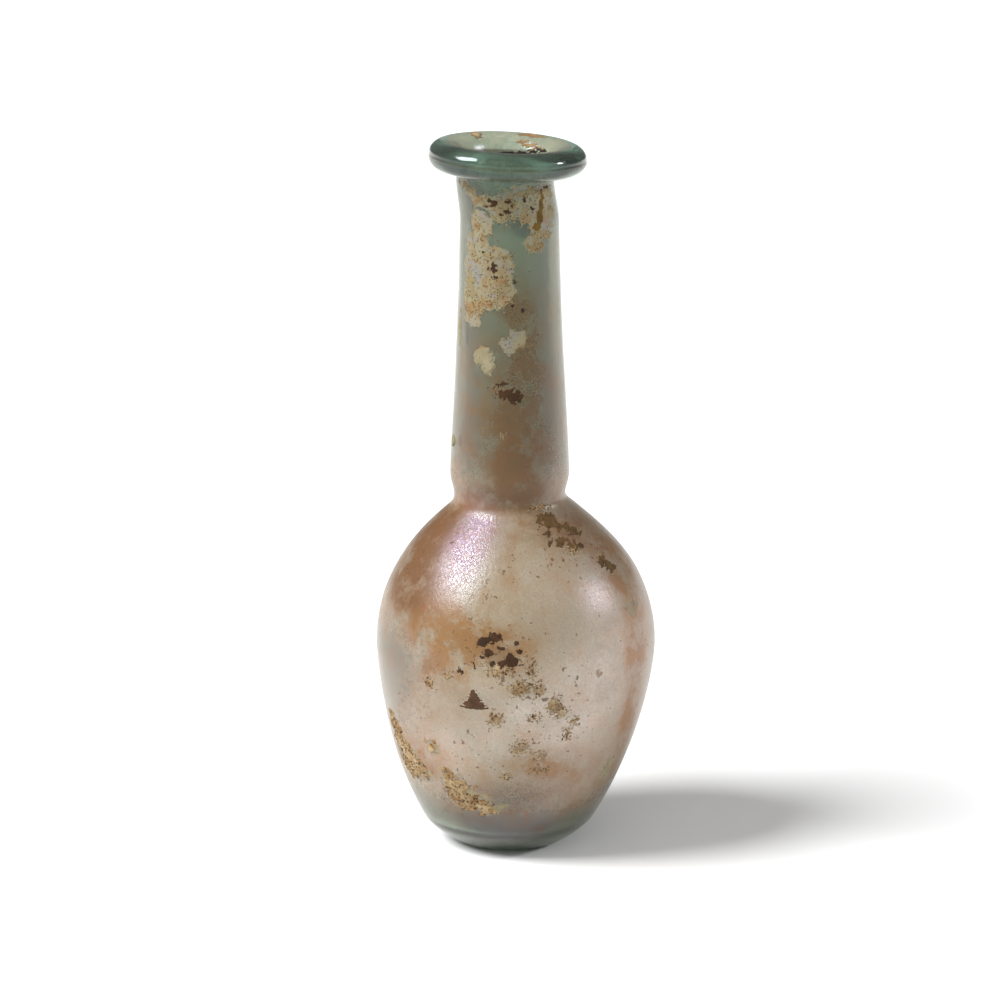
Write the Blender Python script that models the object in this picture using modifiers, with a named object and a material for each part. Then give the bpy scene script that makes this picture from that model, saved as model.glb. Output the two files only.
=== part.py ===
# A free-blown glass perfume flask with a rolled collar, a tall tapering neck and an egg-shaped belly.
# Lengths are metres, +Z is up, and the flask stands on Z = 0 with its belly centred on the Z axis.

import bpy
import math
from mathutils import Vector
from mathutils.geometry import interpolate_bezier

# Collar: a thick tube of glass rolled round the mouth
COLLAR_RADIUS = 0.0151
COLLAR_TUBE_RADIUS = 0.0029
COLLAR_TUBE_HEIGHT = 0.0054
COLLAR_BASE_Z = 0.1327

# Neck, from its swollen foot to just under the collar
NECK_TOP_RADIUS = 0.0094
NECK_TOP_DROP = 0.0011
NECK_SWELL_RADIUS = 0.01144
NECK_SWELL_Z = 0.0741
NECK_PINCH_RADIUS = 0.01068
NECK_PINCH_Z = 0.0697

# Belly and foot
SHOULDER_RADIUS = 0.01253
SHOULDER_Z = 0.0668
SHOULDER_SLOPE = math.radians(42)
BELLY_RADIUS = 0.0270
BELLY_Z = 0.0399
HEEL_RADIUS = 0.0166
HEEL_Z = 0.0050
HEEL_SLOPE = math.radians(59)
FOOT_RADIUS = 0.0088
DIMPLE_RADIUS = 0.0054
DIMPLE_DEPTH = 0.0008

# Thickness of the glass
FOOT_WALL = 0.0026
BELLY_WALL = 0.0015
SHOULDER_WALL = 0.0018
NECK_WALL = 0.0019

# What blowing by hand did to the shape: how far each level leans off the belly's centre, along X
FOOT_LEAN = -0.0013
BELLY_LEAN = 0.0
SHOULDER_LEAN = -0.0005
NECK_LEAN = -0.0011
NECK_TOP_LEAN = -0.0020
COLLAR_LEAN = -0.00145
# and how the collar tips, down on the +X side and up at the front
COLLAR_TIP_SIDE = math.radians(2.8)
COLLAR_TIP_FRONT = math.radians(1.5)
COLLAR_TIP_SPAN = 0.0100

SIDES = 44
ROUND_HANDLE = 0.5523  # handle of a quarter circle, as a share of its radius
NODE_NAME = "flask"


def clear_scene():
    """Removes every object, so that the script starts from an empty scene."""
    for item in list(bpy.data.objects):
        bpy.data.objects.remove(item)


def new_collection(name):
    """Adds a collection to the scene."""
    collection = bpy.data.collections.new(name)
    bpy.context.scene.collection.children.link(collection)
    return collection


def stretch(start, start_way, end, end_way, points):
    """A smooth stretch of outline from start to end. Each way is (direction in radius and height, handle)."""
    (r0, z0), (r1, z1) = start, end
    (dr0, dz0), reach0 = start_way
    (dr1, dz1), reach1 = end_way
    first = Vector((r0, z0))
    last = Vector((r1, z1))
    handle0 = first + Vector((dr0, dz0)) * reach0
    handle1 = last - Vector((dr1, dz1)) * reach1
    return [tuple(p) for p in interpolate_bezier(first, handle0, handle1, last, points)]


OUT = (1.0, 0.0)
IN = (-1.0, 0.0)
DOWN = (0.0, -1.0)
SHOULDER_WAY = (math.cos(SHOULDER_SLOPE), -math.sin(SHOULDER_SLOPE))
HEEL_WAY = (-math.cos(HEEL_SLOPE), -math.sin(HEEL_SLOPE))


def lip_point():
    """The top of the collar's tube, as radius and height."""
    return COLLAR_RADIUS - COLLAR_TUBE_RADIUS, COLLAR_BASE_Z + COLLAR_TUBE_HEIGHT


def collar_outline():
    """The collar's outer side, from the top of its tube round to its underside and in to the neck."""
    half = COLLAR_TUBE_HEIGHT / 2
    round_out = ROUND_HANDLE * COLLAR_TUBE_RADIUS
    round_down = ROUND_HANDLE * half
    widest = (COLLAR_RADIUS, COLLAR_BASE_Z + half)
    under = (COLLAR_RADIUS - COLLAR_TUBE_RADIUS, COLLAR_BASE_Z)
    neck_top = (NECK_TOP_RADIUS, COLLAR_BASE_Z - NECK_TOP_DROP)
    ledge = under[0] - neck_top[0]
    top = stretch(lip_point(), (OUT, round_out), widest, (DOWN, round_down), 6)
    side = stretch(widest, (DOWN, round_down), under, (IN, round_out), 6)
    fillet = stretch(under, (IN, 0.8 * ledge), neck_top, (DOWN, 0.8 * NECK_TOP_DROP), 6)
    return top + side[1:] + fillet[1:]


def neck_outline():
    """The neck's outer side, down to its pinch over the shoulder."""
    top = (NECK_TOP_RADIUS, COLLAR_BASE_Z - NECK_TOP_DROP)
    swell = (NECK_SWELL_RADIUS, NECK_SWELL_Z)
    pinch = (NECK_PINCH_RADIUS, NECK_PINCH_Z)
    length = top[1] - swell[1]
    taper = stretch(top, (DOWN, 0.46 * length), swell, (DOWN, 0.10 * length), 10)
    drop = swell[1] - pinch[1]
    tuck = stretch(swell, (DOWN, 0.47 * drop), pinch, (DOWN, 0.35 * drop), 5)
    return taper + tuck[1:]


def body_outline():
    """The belly's outer side, from the neck's pinch over the shoulder and the belly to the edge of the foot."""
    pinch = (NECK_PINCH_RADIUS, NECK_PINCH_Z)
    shoulder = (SHOULDER_RADIUS, SHOULDER_Z)
    belly = (BELLY_RADIUS, BELLY_Z)
    heel = (HEEL_RADIUS, HEEL_Z)
    foot = (FOOT_RADIUS, 0.0)
    fillet_drop = pinch[1] - shoulder[1]
    upper = shoulder[1] - belly[1]
    lower = belly[1] - heel[1]
    heel_step = heel[0] - foot[0]
    fillet = stretch(pinch, (DOWN, 0.44 * fillet_drop), shoulder, (SHOULDER_WAY, 0.35 * fillet_drop), 5)
    top = stretch(shoulder, (SHOULDER_WAY, 0.25 * upper), belly, (DOWN, 0.54 * upper), 10)
    bottom = stretch(belly, (DOWN, 0.10 * lower), heel, (HEEL_WAY, 0.47 * lower), 10)
    turn = stretch(heel, (HEEL_WAY, 0.16 * heel_step), foot, (IN, 0.37 * heel_step), 6)
    return fillet + top[1:] + bottom[1:] + turn[1:]


def foot_outline():
    """The flat ring that the flask stands on and the shallow dimple inside it, in to the axis."""
    edge = (DIMPLE_RADIUS, 0.0)
    crown = (0.0, DIMPLE_DEPTH)
    reach = 0.4 * DIMPLE_RADIUS
    return stretch(edge, (IN, reach), crown, (IN, reach), 5)


def wall_at(height):
    """Thickness of the glass at a height, blended smoothly between the named walls."""
    levels = [
        (0.0, FOOT_WALL),
        (BELLY_Z, BELLY_WALL),
        (SHOULDER_Z, SHOULDER_WALL),
        (NECK_SWELL_Z, NECK_WALL),
    ]
    return blend_levels(levels, height)


def blend_levels(levels, height):
    """The value at a height between (height, value) levels, eased from each to the next."""
    if height <= levels[0][0]:
        return levels[0][1]
    for (low_z, low), (high_z, high) in zip(levels, levels[1:]):
        if height <= high_z:
            share = (height - low_z) / (high_z - low_z)
            eased = share * share * (3 - 2 * share)
            return low + (high - low) * eased
    return levels[-1][1]


def inner_side(outer):
    """The inside of the vessel: the outer side moved in by the wall, square to the outline."""
    inner = []
    for index, (r, z) in enumerate(outer):
        r_before, z_before = outer[max(index - 1, 0)]
        r_after, z_after = outer[min(index + 1, len(outer) - 1)]
        way = Vector((r_after - r_before, z_after - z_before)).normalized()
        wall = wall_at(z)
        inner.append((max(r + way.y * wall, 0.0), z - way.x * wall))
    inner[-1] = (0.0, inner[-1][1])
    return inner


def mouth_outline(inner_top):
    """The inside of the mouth, from the neck's bore up and out to the top of the collar's tube."""
    lip = lip_point()
    rise = lip[1] - inner_top[1]
    width = lip[0] - inner_top[0]
    return stretch(inner_top, ((0.0, 1.0), 0.75 * rise), lip, (OUT, 0.60 * width), 8)


def flask_outline():
    """The whole cut through the glass on one side: up the inside, over the lip, down the outside to the axis."""
    outside = neck_outline() + body_outline()[1:] + foot_outline()
    inside = inner_side(outside)
    inside.reverse()
    mouth = mouth_outline(inside[-1])
    return inside + mouth[1:] + collar_outline()[1:] + outside[1:]


def turned(name, outline, sides, collection):
    """A closed solid turned from an outline of (radius, height) points, which runs down its outer side."""
    mesh = bpy.data.meshes.new(name + "_outline")
    points = [(r, 0.0, z) for r, z in outline]
    edges = [(i, i + 1) for i in range(len(points) - 1)]
    mesh.from_pydata(points, edges, [])
    profile = bpy.data.objects.new(name + "_outline", mesh)
    collection.objects.link(profile)
    screw = profile.modifiers.new("turn", "SCREW")
    screw.axis = "Z"
    screw.angle = 2 * math.pi
    screw.steps = sides
    screw.render_steps = sides
    screw.use_merge_vertices = True
    screw.merge_threshold = 0.00001
    graph = bpy.context.evaluated_depsgraph_get()
    solid = bpy.data.meshes.new_from_object(profile.evaluated_get(graph))
    solid.name = name
    bpy.data.objects.remove(profile)
    piece = bpy.data.objects.new(name, solid)
    collection.objects.link(piece)
    return piece


def lean_at(height):
    """How far the flask's centre stands off the belly's, along X, at a height."""
    levels = [
        (0.0, FOOT_LEAN),
        (BELLY_Z - BELLY_WALL, BELLY_LEAN),
        ((BELLY_Z + SHOULDER_Z) / 2, BELLY_LEAN),
        (SHOULDER_Z, SHOULDER_LEAN),
        (NECK_PINCH_Z, NECK_LEAN),
        ((NECK_SWELL_Z + 5 * COLLAR_BASE_Z) / 6, NECK_LEAN),
        (COLLAR_BASE_Z - NECK_TOP_DROP, NECK_TOP_LEAN),
        (COLLAR_BASE_Z + COLLAR_TUBE_HEIGHT / 2, COLLAR_LEAN),
    ]
    return blend_levels(levels, height)


def shape_by_hand(piece):
    """Moves each point of the turned flask as the glassblower's hand did: the leaning axis and the tipped collar."""
    tip_levels = [
        (COLLAR_BASE_Z - COLLAR_TIP_SPAN, 0.0),
        (COLLAR_BASE_Z, 1.0),
    ]
    for vertex in piece.data.vertices:
        x, y, z = vertex.co
        tip = blend_levels(tip_levels, z)
        fall = x * math.tan(COLLAR_TIP_SIDE) + y * math.tan(COLLAR_TIP_FRONT)
        vertex.co = (x + lean_at(z), y, z - tip * fall)
    piece.data.update()


def glass_material():
    """Pale blue-green glass under a milky weathered film."""
    material = bpy.data.materials.new("weathered_glass")
    material.use_nodes = True
    shader = material.node_tree.nodes["Principled BSDF"]
    shader.inputs["Base Color"].default_value = (0.56, 0.52, 0.42, 1.0)
    shader.inputs["Roughness"].default_value = 0.25
    shader.inputs["Metallic"].default_value = 0.0
    shader.inputs["Transmission Weight"].default_value = 0.9
    return material


def main():
    clear_scene()
    collection = new_collection("perfume_flask")
    flask = turned(NODE_NAME, flask_outline(), SIDES, collection)
    shape_by_hand(flask)
    flask.data.shade_smooth()
    flask.data.set_sharp_from_angle(angle=math.radians(40))
    flask.data.materials.append(glass_material())


main()
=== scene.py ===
# %% [markdown]
# # A weathered glass perfume flask
#
# The object is one piece of blown glass: a belly, a tall neck and a collar rolled round the mouth. It has
# lain in soil for centuries. The glass is still clear and blue-green at the collar and the foot. The rest
# is under a milky film that shines like mother of pearl, and under stains and a crust of lime and soil.
#
# The lesson goes from the outside in: the room and the camera, the glass itself, the film on it, the
# crust, and last the grains and bubbles. Lengths are metres. The flask stands on Z = 0 and its front
# faces -Y.

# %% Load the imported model
import bpy
import bmesh
import math
import numpy as np
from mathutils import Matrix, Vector, noise
from mathutils.bvhtree import BVHTree
from mathutils.geometry import interpolate_bezier


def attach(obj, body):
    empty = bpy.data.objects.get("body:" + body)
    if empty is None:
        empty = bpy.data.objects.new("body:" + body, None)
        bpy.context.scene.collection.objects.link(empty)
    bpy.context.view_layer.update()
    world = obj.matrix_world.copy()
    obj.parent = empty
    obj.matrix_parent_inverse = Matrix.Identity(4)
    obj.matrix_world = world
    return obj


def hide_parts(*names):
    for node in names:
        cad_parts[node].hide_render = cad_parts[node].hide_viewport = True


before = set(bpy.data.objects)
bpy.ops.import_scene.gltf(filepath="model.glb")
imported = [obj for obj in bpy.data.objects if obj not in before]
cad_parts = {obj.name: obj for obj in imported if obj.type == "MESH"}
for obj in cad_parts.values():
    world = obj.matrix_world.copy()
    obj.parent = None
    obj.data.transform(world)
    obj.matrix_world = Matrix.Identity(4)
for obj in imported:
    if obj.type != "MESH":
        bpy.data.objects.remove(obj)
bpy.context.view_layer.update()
MM = 0.001

# %% [markdown]
# ## The camera
#
# The camera was worked out from the flask's outline. It stands 0.91 m in front, 0.32 m up, and looks down
# by 15.5 degrees through a long lens, which is how small objects are usually photographed. The flask
# stands a little right of the middle and a little high, so the lens is shifted by those few hundredths.

# %% Camera
CAMERA_DISTANCE = 0.907
CAMERA_HEIGHT = 0.321
AIM_HEIGHT = 0.070
FOCAL_LENGTH = 176.0
SHIFT_RIGHT = 0.0155
SHIFT_UP = 0.0097

camera_data = bpy.data.cameras.new("camera")
camera_data.lens = FOCAL_LENGTH
camera_data.sensor_width = 36.0
camera_data.clip_start = 0.01
camera_data.shift_x = -SHIFT_RIGHT
camera_data.shift_y = -SHIFT_UP
camera = bpy.data.objects.new("camera", camera_data)
bpy.context.scene.collection.objects.link(camera)
camera.location = (0.0, -CAMERA_DISTANCE, CAMERA_HEIGHT)
look_down = math.atan2(CAMERA_HEIGHT - AIM_HEIGHT, CAMERA_DISTANCE)
camera.rotation_euler = (math.pi / 2 - look_down, 0.0, 0.0)
bpy.context.scene.camera = camera
print("camera looks down by", round(math.degrees(look_down), 1), "degrees")

# %% [markdown]
# ## Colours and nodes
#
# Colours are written as they look on a screen, in sRGB hex, and one function turns them into the linear
# values that the shader needs. A second small function adds a node with its settings and its links, so
# that each material reads as a list of steps.

# %% Helpers for colours and nodes
def colour(hex_code):
    """The linear colour of an sRGB hex code."""
    parts = [int(hex_code[i:i + 2], 16) / 255 for i in (1, 3, 5)]
    linear = [c / 12.92 if c <= 0.04045 else ((c + 0.055) / 1.055) ** 2.4 for c in parts]
    return (*linear, 1.0)


def add(tree, kind, settings=None, out=None, **inputs):
    """
    Adds a node and returns its named output, or its first live one. Each input is a value or the output it is
    linked from; i0, i1 and so on name an input by its place.
    """
    node = tree.nodes.new(kind)
    for name, value in (settings or {}).items():
        setattr(node, name, value)
    for name, value in inputs.items():
        if name[0] == "i" and name[1:].isdigit():
            socket = node.inputs[int(name[1:])]
        else:
            socket = node.inputs[name.replace("_", " ")]
        if isinstance(value, bpy.types.NodeSocket):
            tree.links.new(value, socket)
        else:
            socket.default_value = value
    if not node.outputs:
        return node
    return node.outputs[out] if out else next(socket for socket in node.outputs if socket.enabled)


SMOOTH = {"interpolation_type": "SMOOTHSTEP"}
RGBA = {"data_type": "RGBA"}
PLUS = {"operation": "ADD"}
TIMES = {"operation": "MULTIPLY"}
CLAMPED_PLUS = {"operation": "ADD", "use_clamp": True}
CLAMPED_TIMES = {"operation": "MULTIPLY", "use_clamp": True}
MINUS = {"operation": "SUBTRACT"}
OVER = {"operation": "DIVIDE"}
LEAST_OF = {"operation": "MINIMUM"}
MOST_OF = {"operation": "MAXIMUM"}
ROUNDED = {"operation": "ROUND"}
SINE = {"operation": "SINE"}
COSINE = {"operation": "COSINE"}
MATHS = "ShaderNodeMath"


def per_metre(size_mm):
    """A pattern's scale for features of a size in millimetres."""
    return 1.0 / (size_mm * MM)


def new_material(name):
    """An empty node material with its output."""
    material = bpy.data.materials.new(name)
    material.use_nodes = True
    material.node_tree.nodes.clear()
    return material, material.node_tree


# %% [markdown]
# ## The floor and the light
#
# The flask stands on a white floor that runs on behind it. A large soft lamp stands high on the left and
# a little in front, so its shadow falls to the right and slightly back. A narrow, weaker lamp on the
# right puts the small glow on that shoulder. A third one, faint and very wide, fills in from the front.
# Lamps of the sun kind are used, because they are as strong everywhere and need no place. The floor takes
# enough light to turn white, and the shadow stays grey.

# %% Floor and lamps
FLOOR_HALF = 4.0
floor_mesh = bpy.data.meshes.new("floor")
corners = [(-1, -1, 0), (1, -1, 0), (1, 1, 0), (-1, 1, 0)]
floor_mesh.from_pydata([tuple(FLOOR_HALF * c for c in corner) for corner in corners], [], [(0, 1, 2, 3)])
floor = bpy.data.objects.new("floor", floor_mesh)
bpy.context.scene.collection.objects.link(floor)
paper, tree = new_material("white_paper")
matt = add(tree, "ShaderNodeBsdfPrincipled", Base_Color=colour("#f4f4f4"), Roughness=0.9)
add(tree, "ShaderNodeOutputMaterial", Surface=matt)
floor_mesh.materials.append(paper)


def soft_lamp(name, turn, height, strength, width):
    """A far round lamp: its turn from the front and its height in degrees, and how wide it looks."""
    lamp = bpy.data.lights.new(name, "SUN")
    lamp.energy = strength
    lamp.angle = math.radians(width)
    holder = bpy.data.objects.new(name, lamp)
    bpy.context.scene.collection.objects.link(holder)
    turn = math.radians(turn)
    height = math.radians(height)
    level = math.cos(height)
    towards = Vector((math.sin(turn) * level, -math.cos(turn) * level, math.sin(height)))
    holder.rotation_euler = towards.to_track_quat("Z", "Y").to_euler()
    print(name, "has strength", strength, "and looks", width, "degrees wide")


soft_lamp("key_lamp", -75, 45, 4.9, 31)
soft_lamp("right_lamp", 90, 26, 1.3, 8)
soft_lamp("front_lamp", -8, 40, 0.45, 60)

ROOM_LIGHT = 0.19
world = bpy.data.worlds.new("studio")
bpy.context.scene.world = world
world.use_nodes = True
background = world.node_tree.nodes["Background"]
background.inputs["Color"].default_value = (1.0, 1.0, 1.0, 1.0)
background.inputs["Strength"].default_value = ROOM_LIGHT
bpy.context.scene.view_settings.view_transform = "Standard"

# %% [markdown]
# ## The glass
#
# The glassblower blew the belly, pinched it off from the neck, and rolled the rim outwards into a collar.
# The vessel is round, so its whole shape follows from one outline: the cut through the wall on one side.
# The outline is drawn in smooth stretches between a few named sizes, the same ones that the solid has.

# %% The outline's sizes
COLLAR_RADIUS = 0.0151
COLLAR_TUBE_RADIUS = 0.0029
COLLAR_TUBE_HEIGHT = 0.0054
COLLAR_BASE_Z = 0.1327
NECK_TOP_RADIUS = 0.0094
NECK_TOP_DROP = 0.0011
NECK_SWELL_RADIUS = 0.01144
NECK_SWELL_Z = 0.0741
NECK_PINCH_RADIUS = 0.01068
NECK_PINCH_Z = 0.0697
SHOULDER_RADIUS = 0.01253
SHOULDER_Z = 0.0668
SHOULDER_SLOPE = math.radians(42)
BELLY_RADIUS = 0.0270
BELLY_Z = 0.0399
HEEL_RADIUS = 0.0166
HEEL_Z = 0.0050
HEEL_SLOPE = math.radians(59)
FOOT_RADIUS = 0.0088
DIMPLE_RADIUS = 0.0054
DIMPLE_DEPTH = 0.0008
WALLS = [(0.0, 0.0026), (BELLY_Z, 0.0015), (SHOULDER_Z, 0.0018), (NECK_SWELL_Z, 0.0019)]
FOLD_Z = COLLAR_BASE_Z + 0.55 * COLLAR_TUBE_HEIGHT
FOLD_DEPTH = 0.00016
FOLD_WIDTH = 0.00035

OUT, IN, DOWN, UP = (1.0, 0.0), (-1.0, 0.0), (0.0, -1.0), (0.0, 1.0)
SHOULDER_WAY = (math.cos(SHOULDER_SLOPE), -math.sin(SHOULDER_SLOPE))
HEEL_WAY = (-math.cos(HEEL_SLOPE), -math.sin(HEEL_SLOPE))


# %% The outline's stretches
def stretch(start, start_way, start_reach, end, end_way, end_reach, points):
    """A smooth stretch of outline from start to end that leaves and arrives along the two ways."""
    first, last = Vector(start), Vector(end)
    handle0 = first + Vector(start_way) * start_reach
    handle1 = last - Vector(end_way) * end_reach
    return [tuple(p) for p in interpolate_bezier(first, handle0, handle1, last, points)]


def eased(levels, height):
    """The value at a height between (height, value) levels, eased from each to the next."""
    heights = [h for h, _ in levels]
    values = [v for _, v in levels]
    i = int(np.clip(np.searchsorted(heights, height) - 1, 0, len(levels) - 2))
    share = float(np.clip((height - heights[i]) / (heights[i + 1] - heights[i]), 0, 1))
    return values[i] + (values[i + 1] - values[i]) * share * share * (3 - 2 * share)


def outer_outline():
    """From the neck's top down the outside to the axis under the foot."""
    top = (NECK_TOP_RADIUS, COLLAR_BASE_Z - NECK_TOP_DROP)
    swell = (NECK_SWELL_RADIUS, NECK_SWELL_Z)
    pinch = (NECK_PINCH_RADIUS, NECK_PINCH_Z)
    shoulder = (SHOULDER_RADIUS, SHOULDER_Z)
    belly = (BELLY_RADIUS, BELLY_Z)
    heel = (HEEL_RADIUS, HEEL_Z)
    foot = (FOOT_RADIUS, 0.0)
    neck = top[1] - swell[1]
    tuck = swell[1] - pinch[1]
    fillet = pinch[1] - shoulder[1]
    upper = shoulder[1] - belly[1]
    lower = belly[1] - heel[1]
    step = heel[0] - foot[0]
    parts = [
        stretch(top, DOWN, 0.46 * neck, swell, DOWN, 0.10 * neck, 100),
        stretch(swell, DOWN, 0.47 * tuck, pinch, DOWN, 0.35 * tuck, 7),
        stretch(pinch, DOWN, 0.44 * fillet, shoulder, SHOULDER_WAY, 0.35 * fillet, 8),
        stretch(shoulder, SHOULDER_WAY, 0.25 * upper, belly, DOWN, 0.54 * upper, 40),
        stretch(belly, DOWN, 0.10 * lower, heel, HEEL_WAY, 0.47 * lower, 42),
        stretch(heel, HEEL_WAY, 0.16 * step, foot, IN, 0.37 * step, 14),
        [(DIMPLE_RADIUS + (FOOT_RADIUS - DIMPLE_RADIUS) * k / 4, 0.0) for k in (3, 2, 1)],
        stretch((DIMPLE_RADIUS, 0.0), IN, 0.4 * DIMPLE_RADIUS,
                (0.0, DIMPLE_DEPTH), IN, 0.4 * DIMPLE_RADIUS, 8),
    ]
    line = parts[0]
    for part in parts[1:]:
        line = line + (part[1:] if part[0] == line[-1] else part)
    return line


def inner_outline(outer):
    """The inside of the vessel: the outer side moved in by the wall, square to the outline."""
    inner = []
    for i, (r, z) in enumerate(outer):
        before, after = Vector(outer[max(i - 1, 0)]), Vector(outer[min(i + 1, len(outer) - 1)])
        way = (after - before).normalized()
        wall = eased(WALLS, z)
        inner.append((max(r + way.y * wall, 0.0), z - way.x * wall))
    inner[-1] = (0.0, inner[-1][1])
    return inner[:-1:4] + [inner[-1]]


def collar_outline():
    """From the top of the collar round its outer side, with the fold pressed into it, in to the neck."""
    half = COLLAR_TUBE_HEIGHT / 2
    bend = 0.5523
    lip = (COLLAR_RADIUS - COLLAR_TUBE_RADIUS, COLLAR_BASE_Z + COLLAR_TUBE_HEIGHT)
    widest = (COLLAR_RADIUS, COLLAR_BASE_Z + half)
    under = (lip[0], COLLAR_BASE_Z)
    top = (NECK_TOP_RADIUS, COLLAR_BASE_Z - NECK_TOP_DROP)
    ledge = under[0] - top[0]
    line = stretch(lip, OUT, bend * COLLAR_TUBE_RADIUS, widest, DOWN, bend * half, 18)
    line += stretch(widest, DOWN, bend * half, under, IN, bend * COLLAR_TUBE_RADIUS, 18)[1:]
    line += stretch(under, IN, 0.8 * ledge, top, DOWN, 0.8 * NECK_TOP_DROP, 10)[1:]
    folded = []
    for r, z in line:
        press = FOLD_DEPTH * math.exp(-((z - FOLD_Z) / FOLD_WIDTH) ** 2) if r > lip[0] else 0.0
        folded.append((r - press, z))
    return folded


outside = outer_outline()
inside = inner_outline(outside)[::-1]
collar = collar_outline()
lip_point = collar[0]
rise, width = lip_point[1] - inside[-1][1], lip_point[0] - inside[-1][0]
mouth = stretch(inside[-1], UP, 0.75 * rise, lip_point, OUT, 0.60 * width, 20)
outline = inside + mouth[1:] + collar[1:] + outside[1:]
LIP_ROW = len(inside) + len(mouth) - 2
print("outline of", len(outline), "points, lip at row", LIP_ROW, lip_point)

# %% [markdown]
# A lathe-like shape can be made with a Screw modifier or with Geometry Nodes. Here Geometry Nodes turn
# the outline, because the same tree can also add what the blowing did: a slow unevenness that moves the
# inner and the outer side together, so that the wall keeps its thickness. Each point of a flat grid takes
# the radius and height of its row of the outline and the angle of its column.

# %% Geometry Nodes tree that turns the outline
TUBE_RADIUS = 0.02
FADE_PER_METRE = 100.0


def turning_tree(name):
    """A tree that turns an outline mesh about Z, with named inputs for its sides and its unevenness."""
    tree = bpy.data.node_groups.new(name, "GeometryNodeTree")
    face = tree.interface
    face.new_socket("Outline", in_out="INPUT", socket_type="NodeSocketGeometry")
    face.new_socket("Sides", in_out="INPUT", socket_type="NodeSocketInt")
    face.new_socket("Unevenness", in_out="INPUT", socket_type="NodeSocketFloat")
    face.new_socket("Swell size", in_out="INPUT", socket_type="NodeSocketFloat")
    face.new_socket("Glass", in_out="INPUT", socket_type="NodeSocketMaterial")
    face.new_socket("Vessel", in_out="OUTPUT", socket_type="NodeSocketGeometry")
    start = tree.nodes.new("NodeGroupInput")
    end = tree.nodes.new("NodeGroupOutput")

    rows = add(tree, "GeometryNodeAttributeDomainSize", i0=start.outputs["Outline"])
    columns = add(tree, MATHS, PLUS, i0=start.outputs["Sides"], i1=1.0)
    grid = add(tree, "GeometryNodeMeshGrid", Size_X=1.0, Size_Y=1.0, Vertices_X=rows, Vertices_Y=columns)
    position = add(tree, "GeometryNodeInputPosition")
    place = add(tree, "ShaderNodeSeparateXYZ", i0=position).node

    # the grid's X gives the row of the outline, and its Y the angle round the axis
    share_along = add(tree, MATHS, PLUS, i0=place.outputs["X"], i1=0.5)
    last_row = add(tree, MATHS, MINUS, i0=rows, i1=1.0)
    row = add(tree, MATHS, TIMES, i0=share_along, i1=last_row)
    row = add(tree, MATHS, ROUNDED, i0=row)
    angle = add(tree, MATHS, TIMES, i0=place.outputs["Y"], i1=2 * math.pi)
    point = add(tree, "GeometryNodeSampleIndex", {"data_type": "FLOAT_VECTOR"}, i0=start.outputs["Outline"],
                Index=row, Value=position)
    cut = add(tree, "ShaderNodeSeparateXYZ", i0=point).node
    sine = add(tree, MATHS, SINE, i0=angle)
    cosine = add(tree, MATHS, COSINE, i0=angle)

    # the unevenness: noise read on a tube of 20 mm radius, so both sides of the wall read the same value
    around_x = add(tree, MATHS, TIMES, i0=sine, i1=TUBE_RADIUS)
    around_y = add(tree, MATHS, TIMES, i0=cosine, i1=TUBE_RADIUS)
    around = add(tree, "ShaderNodeCombineXYZ", X=around_x, Y=around_y, Z=cut.outputs["Z"])
    frequency = add(tree, MATHS, OVER, i0=1.0, i1=start.outputs["Swell size"])
    swell = add(tree, "ShaderNodeTexNoise", Vector=around, Scale=frequency, Detail=1.0, Roughness=0.4)
    push = add(tree, MATHS, MINUS, i0=swell, i1=0.5)
    push = add(tree, MATHS, TIMES, i0=push, i1=start.outputs["Unevenness"])

    # it fades out over the last 10 mm to the axis and to the floor
    near_axis = add(tree, MATHS, TIMES, i0=cut.outputs["X"], i1=FADE_PER_METRE)
    near_axis = add(tree, MATHS, LEAST_OF, i0=near_axis, i1=1.0)
    near_floor = add(tree, MATHS, TIMES, i0=cut.outputs["Z"], i1=FADE_PER_METRE)
    near_floor = add(tree, MATHS, LEAST_OF, i0=near_floor, i1=1.0)
    fade = add(tree, MATHS, TIMES, i0=near_axis, i1=near_floor)
    push = add(tree, MATHS, TIMES, i0=push, i1=fade)
    radius = add(tree, MATHS, PLUS, i0=cut.outputs["X"], i1=push)

    right = add(tree, MATHS, TIMES, i0=sine, i1=radius)
    back = add(tree, MATHS, TIMES, i0=cosine, i1=radius)
    back = add(tree, MATHS, TIMES, i0=back, i1=-1.0)
    spot = add(tree, "ShaderNodeCombineXYZ", X=right, Y=back, Z=cut.outputs["Z"])
    stored = add(tree, "GeometryNodeStoreNamedAttribute", {"data_type": "FLOAT"}, Geometry=grid, Name="row",
                 Value=row)
    placed = add(tree, "GeometryNodeSetPosition", Geometry=stored, Position=spot)
    closed = add(tree, "GeometryNodeMergeByDistance", Geometry=placed, Distance=1e-6)
    smooth = add(tree, "GeometryNodeSetShadeSmooth", i0=closed)
    real = add(tree, "GeometryNodeRealizeInstances", i0=smooth)
    finish = add(tree, "GeometryNodeSetMaterial", Geometry=real, Material=start.outputs["Glass"])
    tree.links.new(finish, end.inputs[0])
    return tree


def socket_of(tree, name):
    """The identifier of a tree's input, which a modifier sets it by."""
    for item in tree.interface.items_tree:
        if item.name == name and item.in_out == "INPUT":
            return item.identifier
    raise KeyError(name)


def grown(name, mesh, tree, values):
    """A plain mesh object: what a Geometry Nodes tree makes of a mesh with these values."""
    seed = bpy.data.objects.new(name + "_seed", mesh)
    bpy.context.scene.collection.objects.link(seed)
    modifier = seed.modifiers.new("grow", "NODES")
    modifier.node_group = tree
    for key, value in values.items():
        modifier[socket_of(tree, key)] = value
    result = bpy.data.meshes.new_from_object(seed.evaluated_get(bpy.context.evaluated_depsgraph_get()))
    bpy.data.objects.remove(seed)
    result.name = name
    piece = bpy.data.objects.new(name, result)
    bpy.context.scene.collection.objects.link(piece)
    return piece


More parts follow.
